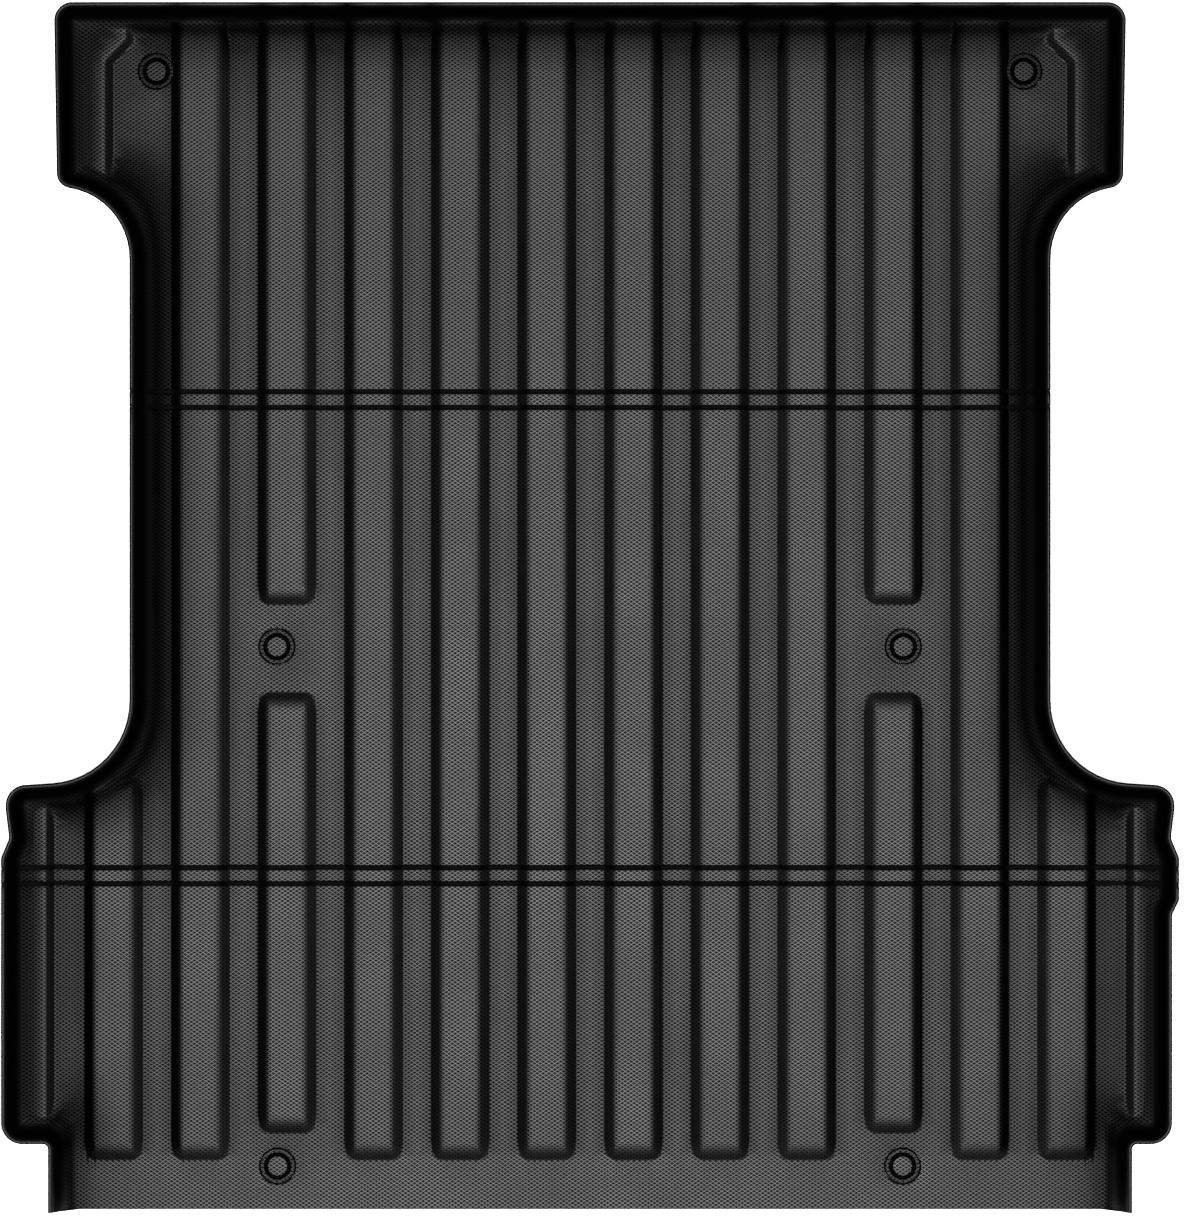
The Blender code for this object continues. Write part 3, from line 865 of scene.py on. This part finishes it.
# Painted light along a rib's sides, against the distance in from the foot of the side: painted shade on
# the walls and along the edges of the valleys, lighter in mid-valley
SIDE_PAINTED_LIGHT = (
    (-0.0200, 1.06), (-0.0120, 1.03), (-0.0080, 0.96), (-0.0050, 0.85), (-0.0025, 0.72),
    (0.0010, 0.80), (0.0040, 0.74), (0.0080, 0.74), (0.0100, 0.62), (0.0120, 0.44),
    (0.0140, 0.30), (0.0160, 0.47), (0.0180, 0.72), (0.0200, 0.93), (0.0220, 1.00),
)
SIDE_END = (0.0005, 0.0040)  # it gives way where a rib's end is this much nearer than its side
SLOPE_STEP = 0.0004  # a wall's slope is measured over twice this distance
# Painted light gained by the rib walls that face the middle of the liner, as if lit from over the
# middle, against the distance from it
INWARD_PAINTED_LIGHT = ((0.0, 0.0), (0.148, 0.24), (0.271, 0.60), (0.393, 0.65), (0.515, 1.75), (0.638, 1.2))
# Painted shade on the walls that face away from it
OUTWARD_PAINTED_SHADE = (
    (0.0, 0.0), (0.096, 0.05), (0.218, 0.14), (0.341, 0.30), (0.463, 0.52), (0.585, 0.80),
    (0.708, 0.90),
)
RAISED_GAIN = 1.1  # a rib counts as fully raised a little under its top
WALL_GAIN = 4.4  # and as wall about halfway up
WALL_PAINTED_SHADE = 0.9  # painted shade: rib walls lose this much of their brightness and gloss at the cab-end lip
WALL_PAINTED_SHADE_ZONE = (0.035, 0.090)  # which fades out between these insets
UNDERSIDE_SHEEN = 0.5
TAIL_PAINTED_LIGHT = (-0.752, -0.778)  # the tailgate strip's painted light takes over between these y
# Painted shade towards the tail, as a factor against y
REAR_PAINTED_SHADE = ((-0.86, 0.97), (-0.79, 0.97), (-0.75, 0.93), (-0.55, 0.95), (-0.40, 1.0))
EDGE_PAINTED_SHADE = 0.05  # painted shade: a dark ring round the edge of each plug hole
EDGE_PAINTED_SHADE_ZONE = (0.00066, 0.0011)  # which ends between these distances from it
GRAIN_START = 0.0200  # the lattice starts this far in from the rim
GRAIN_FADE = 0.008


def painted_light_of(points, depths):
    """How much light is painted on each plan point: painted shade near the lip and between the ribs,
    painted highlights on the rim and the shelves' edges.
    """
    x, y = points[:, 0], points[:, 1]
    off = np.abs(x)
    raised = np.clip(rib_height(x, y, 0.0) / RIB_HEIGHT * RAISED_GAIN, 0, 1)
    places, floor, top, strip = (np.array(column) for column in zip(*PAINTED_LIGHT_TABLE))
    sheen = np.interp(depths, places, floor) * (1 - raised) + np.interp(depths, places, top) * raised

    # painted shade on the rib walls near the cab-end lip
    wall = np.clip(WALL_GAIN * raised * (1 - raised), 0, 1) * (y > 0)
    sheen *= 1 - WALL_PAINTED_SHADE * wall * (1 - smooth(depths, *WALL_PAINTED_SHADE_ZONE))
    # rib walls facing the middle get painted light, walls facing away get painted shade
    rise = rib_height(x + SLOPE_STEP, y, 0.0) - rib_height(x - SLOPE_STEP, y, 0.0)
    inward = np.clip(rise / (2 * SLOPE_STEP) * np.sign(x), -1, 1)
    gain = np.interp(off, *zip(*INWARD_PAINTED_LIGHT))
    loss = np.interp(off, *zip(*OUTWARD_PAINTED_SHADE))
    sheen *= 1 + inward * np.where(inward > 0, gain, loss)

    # painted shade on the rib walls and the valley edges, lighter in mid-valley
    beside_rib = RIB_HALF_WIDTH - np.abs(off % RIB_PITCH - RIB_PITCH / 2)
    along = 1 - smooth(np.minimum(beside_rib, RIB_REACH) - rib_depth(x, y), *SIDE_END)
    sheen *= 1 + (np.interp(beside_rib, *zip(*SIDE_PAINTED_LIGHT)) - 1) * along

    # the tailgate strip's own painted light, with less painted shade near its lip
    near_tail = smooth(-y, -TAIL_PAINTED_LIGHT[0], -TAIL_PAINTED_LIGHT[1])
    sheen = np.maximum(sheen, np.interp(depths, places, strip) * near_tail)
    # painted highlight along the shelves' edges, and painted shade towards the tail
    on_shelf = np.interp(shelf_depth(x, y), *zip(*SHELF_PAINTED_LIGHT)) * smooth(depths, *SHELF_PAINTED_LIGHT_START)
    sheen = np.maximum(sheen, on_shelf * (y > NOTCH_Y)) * np.interp(y, *zip(*REAR_PAINTED_SHADE))
    # painted shade: a dark ring at the edge of each plug hole
    for _, cx, cy in PLUGS:
        edge = np.abs(np.hypot(x - cx, y - cy) - HOLE_RADIUS)
        sheen = np.minimum(sheen, EDGE_PAINTED_SHADE + smooth(edge, *EDGE_PAINTED_SHADE_ZONE))
    return sheen


def grain_mask(depths):
    """1 where the sheet carries the diamond lattice, 0 on the lip."""
    return np.clip((depths - GRAIN_START) / GRAIN_FADE, 0, 1)


# ---------------------------------------------------------------- rubber

class Nodes:
    """Short way to write a material's node tree."""

    def __init__(self, name):
        self.material = bpy.data.materials.new(name)
        self.material.use_nodes = True
        self.tree = self.material.node_tree
        self.shader = self.tree.nodes["Principled BSDF"]

    def new(self, kind, **settings):
        node = self.tree.nodes.new(kind)
        for key, value in settings.items():
            setattr(node, key, value)
        return node

    def plug(self, value, socket):
        if isinstance(value, bpy.types.NodeSocket):
            self.tree.links.new(value, socket)
        else:
            socket.default_value = value

    def math(self, operation, *values, clamp=False):
        node = self.new("ShaderNodeMath", operation=operation, use_clamp=clamp)
        for value, socket in zip(values, node.inputs):
            self.plug(value, socket)
        return node.outputs[0]

    def mapped(self, value, low, high, to_low=0.0, to_high=1.0):
        node = self.new("ShaderNodeMapRange", interpolation_type="SMOOTHSTEP")
        for number, socket in zip((value, low, high, to_low, to_high), node.inputs):
            self.plug(number, socket)
        return node.outputs[0]

    def noise(self, vector, scale, detail, roughness):
        node = self.new("ShaderNodeTexNoise")
        self.plug(vector, node.inputs["Vector"])
        node.inputs["Scale"].default_value = scale
        node.inputs["Detail"].default_value = detail
        node.inputs["Roughness"].default_value = roughness
        return node.outputs["Fac"]

    def colour(self, share, dark, light):
        node = self.new("ShaderNodeMix", data_type="RGBA")
        self.plug(share, node.inputs["Factor"])
        node.inputs["A"].default_value = (*dark, 1)
        node.inputs["B"].default_value = (*light, 1)
        return node.outputs["Result"]

    def bump(self, height, distance, strength, normal=None):
        node = self.new("ShaderNodeBump")
        self.plug(height, node.inputs["Height"])
        self.plug(distance, node.inputs["Distance"])
        self.plug(strength, node.inputs["Strength"])
        if normal is not None:
            self.plug(normal, node.inputs["Normal"])
        return node.outputs["Normal"]


LATTICE_X = 0.00827  # spacing of the diamonds across the truck
LATTICE_Y = 0.00559  # and along it
LATTICE_DEPTH = 0.00045
RIDGE = (0.08, 0.46)  # ridges rise between these shares of a diamond, from its middle
CLOUD = (7.0, 4.0, 0.55)  # scale, detail and roughness of the noise
CLOUD_SPAN = (0.3, 0.7)
CLOUD_SHADE = (0.35, 0.75)
SPECKS = (900.0, 2.0, 0.6)
SPECK_DEPTH = 0.00008
BLACK = (0.0003, 0.0003, 0.0003)


def lattice(nodes, x, y):
    """Height of the moulded grain: crossing ridges with diamond pits between them."""
    across = nodes.math("DIVIDE", x, LATTICE_X)
    along = nodes.math("DIVIDE", y, LATTICE_Y)
    ridges = []
    for operation in ("ADD", "SUBTRACT"):
        phase = nodes.math(operation, across, along)
        saw = nodes.math("ABSOLUTE", nodes.math("SUBTRACT", nodes.math("FRACT", phase), 0.5))
        ridges.append(nodes.mapped(saw, *RIDGE))
    return nodes.math("MAXIMUM", *ridges)


def rubber(name, light, grain_amount, roughness, shine):
    """Black moulded rubber; the grain follows the mesh's grain attribute times the amount. Light and
    shade painted from the mesh's painted-light mark scale the colour and the specular level, and the
    lattice's pits are painted darker.
    """
    nodes = Nodes(name)
    place = nodes.new("ShaderNodeTexCoord").outputs["Object"]
    split = nodes.new("ShaderNodeSeparateXYZ")
    nodes.plug(place, split.inputs[0])
    ridges = lattice(nodes, split.outputs[0], split.outputs[1])
    mark = nodes.new("ShaderNodeAttribute", attribute_name="grain").outputs["Fac"]
    grain = nodes.math("MULTIPLY", mark, grain_amount)
    # the lattice's pits: painted shade in the colour and specular level, and rougher
    shaded_pits = nodes.math("MULTIPLY", nodes.math("SUBTRACT", 1.0, ridges), grain)
    cloud = nodes.noise(place, *CLOUD)
    specks = nodes.noise(place, *SPECKS)

    cloud_shade = nodes.mapped(cloud, *CLOUD_SPAN, *CLOUD_SHADE)
    shade = nodes.math("SUBTRACT", cloud_shade, shaded_pits, clamp=True)
    # light and shade painted from the mesh's mark scale the colour
    painted_factor = nodes.new("ShaderNodeAttribute", attribute_name="sheen").outputs["Fac"]
    shade = nodes.math("MULTIPLY", shade, painted_factor)
    nodes.plug(nodes.colour(shade, BLACK, light), nodes.shader.inputs["Base Color"])

    cloud_rough = nodes.mapped(cloud, *CLOUD_SPAN, roughness - 0.02, roughness + 0.02)
    rough = nodes.math("ADD", cloud_rough, nodes.math("MULTIPLY", shaded_pits, 0.16))
    speck_rough = nodes.math("MULTIPLY", nodes.math("SUBTRACT", specks, 0.5), 0.08)
    rough = nodes.math("ADD", rough, speck_rough)
    nodes.plug(rough, nodes.shader.inputs["Roughness"])
    # painted shade in the pits lowers the specular level, and the painted-light mark scales it
    sheen = nodes.math("MULTIPLY_ADD", shaded_pits, -0.8 * shine, shine)
    nodes.plug(nodes.math("MULTIPLY", sheen, painted_factor), nodes.shader.inputs["Specular IOR Level"])

    normal = nodes.bump(nodes.math("MULTIPLY", ridges, grain), LATTICE_DEPTH, 1.0)
    normal = nodes.bump(specks, SPECK_DEPTH, 0.5, normal)
    nodes.plug(normal, nodes.shader.inputs["Normal"])
    return nodes.material


SHEET = rubber(
    "sheet_rubber", light=(0.0050, 0.0050, 0.0052), grain_amount=1.0, roughness=0.48, shine=0.42
)
WEB = rubber(
    "web_rubber", light=(0.0014, 0.0014, 0.0014), grain_amount=0.0, roughness=0.60, shine=0.015
)


# ---------------------------------------------------------------- pieces

SHEET_BODIES = {
    "front_panel": "front",
    "front_fold_strip": "front_strip",
    "centre_panel": "centre",
    "rear_fold_strip": "rear_strip",
    "rear_panel": "rear",
}


def finish_piece(piece, node, material):
    """Common last steps for a piece that stands for one CAD node."""
    piece.data.materials.append(material)
    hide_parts(node)


def build_sheet():
    """The five pieces of the sheet."""
    points, triangles = build_plan().triangulate()
    depths = inset_of(points)
    lower = lower_face(points, depths)
    upper = upper_face(points, depths)
    lower = np.minimum(lower, upper - THINNEST)
    grain = grain_mask(depths)
    sheen = painted_light_of(points, depths)
    for node, part in split_by_fold(points, triangles).items():
        piece = closed_skin("%s_skin" % node, points, part, lower, upper, grain, sheen)
        finish_piece(piece, node, SHEET)
        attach(piece, SHEET_BODIES[node])


WEB_LAP = 0.0003  # a web reaches this far past its groove all round
WEB_LIFT = 0.0001  # and its underside stands this far above the sheet's
WEB_HOLLOW = 0.0009  # its upper face is this much lower along the middle
WEB_ROWS = 11
WEB_COLUMNS = 161
WEB_CROWDED = 0.0005


def web_xs(fold, reach):
    """Where a web has points across the truck: at every rib column and over the cove."""
    found = set()
    for centre, front, rear in RIBS:
        if rear < fold < front:
            for depth in COLUMN_DEPTHS:
                found |= {centre + RIB_HALF_WIDTH - depth, centre - RIB_HALF_WIDTH + depth}
            found.add(centre)
    found |= {number * RIB_PITCH for number in range(-WING_RIB, WING_RIB + 1)}
    found |= set(np.linspace(-reach, reach, WEB_COLUMNS))
    inside = sorted(x for x in found if abs(x) < reach)
    kept = [-reach]
    for x in inside + [reach]:
        if x - kept[-1] > WEB_CROWDED:
            kept.append(x)
    return np.array(kept)


def build_web(name, fold, reach, parent, child):
    """The thin strip of sheet that bends at one fold."""
    half = GROOVE_WIDTH / 2 + WEB_LAP
    xs = web_xs(fold, reach + WEB_LAP)
    ys = fold + half * np.linspace(-1, 1, WEB_ROWS)
    points = np.array([(x, y) for x in xs for y in ys])
    lower = lower_face(points, inset_of(points)) + WEB_LIFT
    hollow = WEB_HOLLOW * ((points[:, 1] - fold) / half) ** 2
    upper = lower + WEB_SKIN - WEB_LIFT + hollow
    triangles = []
    for i in range(len(xs) - 1):
        for j in range(WEB_ROWS - 1):
            a = i * WEB_ROWS + j
            triangles.append((a, a + WEB_ROWS, a + WEB_ROWS + 1))
            triangles.append((a, a + WEB_ROWS + 1, a + 1))
    none, full = np.zeros(len(points)), np.ones(len(points))
    piece = closed_skin("%s_web_skin" % name, points, np.array(triangles), lower, upper, none, full)
    finish_piece(piece, "%s_web" % name, WEB)
    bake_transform(piece)


# Half-section of a plug in millimetres, from the middle of its button: radius, height, painted light
# (painted shade in the ring groove and at the rim, a lighter button)
PLUG_PROFILE = (
    (0.0, 4.75, 1.1), (6.0, 4.75, 1.1), (12.6, 4.75, 1.1), (13.5, 4.62, 1.0), (14.0, 4.30, 0.3),
    (14.4, 3.70, 0.03), (15.2, 1.90, 0.03), (15.7, 1.40, 0.03), (16.4, 1.20, 0.03), (17.2, 1.40, 0.03),
    (17.8, 1.90, 0.03), (18.6, 3.05, 0.03), (19.0, 3.36, 0.25), (19.6, 3.50, 0.55), (21.0, 3.50, 0.6),
    (23.6, 3.50, 0.6), (24.2, 3.42, 0.3), (24.7, 3.10, 0.03), (25.0, 2.60, 0.03), (25.1, 1.30, 0.03),
    (25.75, 1.20, 0.03), (25.75, 0.45, 0.03), (25.6, 0.30, 0.03), (0.0, 0.30, 0.5),
)
PLUG_SEGMENTS = 72
PLUG_GRAIN_LEVEL = 3.45  # what stands higher than this carries the lattice
PLUG_SHARP = math.radians(50)


def build_plug(node, cx, cy):
    """A turned plug: button, ring groove and rim, with the lattice on the level parts."""
    mesh = bmesh.new()
    marks = mesh.verts.layers.float.new("grain")
    painted_factors = mesh.verts.layers.float.new("sheen")
    centre = np.array([(cx, cy)])
    # the plug takes the light and shade painted on the sheet at its centre
    painted_around = painted_light_of(centre, inset_of(centre))[0]
    rings = []
    for radius, height, painted_factor in PLUG_PROFILE:
        loop = []
        for step in range(PLUG_SEGMENTS if radius else 1):
            angle = 2 * math.pi * step / PLUG_SEGMENTS
            vert = mesh.verts.new((
                cx + radius / 1000 * math.cos(angle), cy + radius / 1000 * math.sin(angle), height / 1000
            ))
            vert[marks] = 1.0 if height > PLUG_GRAIN_LEVEL else 0.0
            # painted light of this ring of the profile
            vert[painted_factors] = painted_factor * painted_around
            loop.append(vert)
        rings.append(loop)
    for high, low in zip(rings, rings[1:]):
        for i in range(PLUG_SEGMENTS):
            j = (i + 1) % PLUG_SEGMENTS
            if len(high) == 1:
                mesh.faces.new((high[0], low[i], low[j]))
            elif len(low) == 1:
                mesh.faces.new((high[i], low[0], high[j]))
            else:
                mesh.faces.new((high[i], low[i], low[j], high[j]))
    data = bpy.data.meshes.new("%s_turned" % node)
    mesh.to_mesh(data)
    mesh.free()
    data.polygons.foreach_set("use_smooth", [True] * len(data.polygons))
    data.set_sharp_from_angle(angle=PLUG_SHARP)
    piece = bpy.data.objects.new("%s_turned" % node, data)
    bpy.context.scene.collection.objects.link(piece)
    finish_piece(piece, node, SHEET)
    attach(piece, node)


# ---------------------------------------------------------------- studio

CAMERA_PLACE = (0.014, -0.0006, 7.2)
FRAME_WIDTH = 1.696  # what the camera sees at the level of the bed floor
SENSOR = 36.0
LIGHT_PLACE = (0, -0.9, 9.0)
LIGHT_SIZE = 1.6
LIGHT_POWER = 1550
SKY_FADE = (0.15, 0.55, 0.35, 0.012)  # height where the fade starts and ends, strength at both
FLOOR_DROP = 0.60  # deep enough for a panel to hang straight down from its fold
FLOOR_GLOW = 1.0  # keeps the floor white in the liner's shadow
FLOOR_HALF = 30


def build_studio():
    """Floor, lights, world and camera."""
    scene = bpy.context.scene
    scene.view_settings.view_transform = "Standard"
    scene.view_settings.look = "None"

    camera = bpy.data.cameras.new("camera")
    camera.sensor_width = SENSOR
    camera.sensor_fit = "HORIZONTAL"
    camera.lens = SENSOR * CAMERA_PLACE[2] / FRAME_WIDTH
    camera.clip_end = 100
    eye = bpy.data.objects.new("camera", camera)
    eye.location = CAMERA_PLACE
    scene.collection.objects.link(eye)
    scene.camera = eye

    nodes = Nodes("studio_floor")
    nodes.shader.inputs["Base Color"].default_value = (0.92, 0.92, 0.92, 1)
    nodes.shader.inputs["Roughness"].default_value = 0.9
    nodes.shader.inputs["Emission Color"].default_value = (1, 1, 1, 1)
    nodes.shader.inputs["Emission Strength"].default_value = FLOOR_GLOW
    mesh = bmesh.new()
    bmesh.ops.create_grid(mesh, x_segments=1, y_segments=1, size=FLOOR_HALF)
    data = bpy.data.meshes.new("floor")
    mesh.to_mesh(data)
    mesh.free()
    data.materials.append(nodes.material)
    floor = bpy.data.objects.new("floor", data)
    floor.location.z = cad_box[0][2] - FLOOR_DROP
    scene.collection.objects.link(floor)

    add_light()
    scene.world = build_world()


def build_world():
    """White to the camera; for the rubber, pale at the horizon and nearly black overhead."""
    world = bpy.data.worlds.new("studio")
    world.use_nodes = True
    tree = world.node_tree
    background = tree.nodes["Background"]
    background.inputs["Color"].default_value = (1, 1, 1, 1)
    split = tree.nodes.new("ShaderNodeSeparateXYZ")
    tree.links.new(tree.nodes.new("ShaderNodeTexCoord").outputs["Generated"], split.inputs[0])
    fade = tree.nodes.new("ShaderNodeMapRange")
    fade.interpolation_type = "SMOOTHSTEP"
    tree.links.new(split.outputs["Z"], fade.inputs["Value"])
    for name, value in zip(("From Min", "From Max", "To Min", "To Max"), SKY_FADE):
        fade.inputs[name].default_value = value
    seen = tree.nodes.new("ShaderNodeMath")
    seen.operation = "MAXIMUM"
    tree.links.new(tree.nodes.new("ShaderNodeLightPath").outputs["Is Camera Ray"], seen.inputs[0])
    tree.links.new(fade.outputs["Result"], seen.inputs[1])
    tree.links.new(seen.outputs[0], background.inputs["Strength"])
    return world


def add_light():
    """Round soft light overhead that the camera doesn't see, aimed at the middle of the liner."""
    light = bpy.data.lights.new("overhead", "AREA")
    light.shape = "DISK"
    light.size = LIGHT_SIZE
    light.energy = LIGHT_POWER
    lamp = bpy.data.objects.new("overhead", light)
    lamp.location = LIGHT_PLACE
    lamp.rotation_euler = (-Vector(LIGHT_PLACE)).to_track_quat("-Z", "Y").to_euler()
    lamp.visible_camera = False
    bpy.context.scene.collection.objects.link(lamp)


build_sheet()
for fold_values in FOLDS:
    build_web(*fold_values)
for plug_values in PLUGS:
    build_plug(*plug_values)
build_studio()
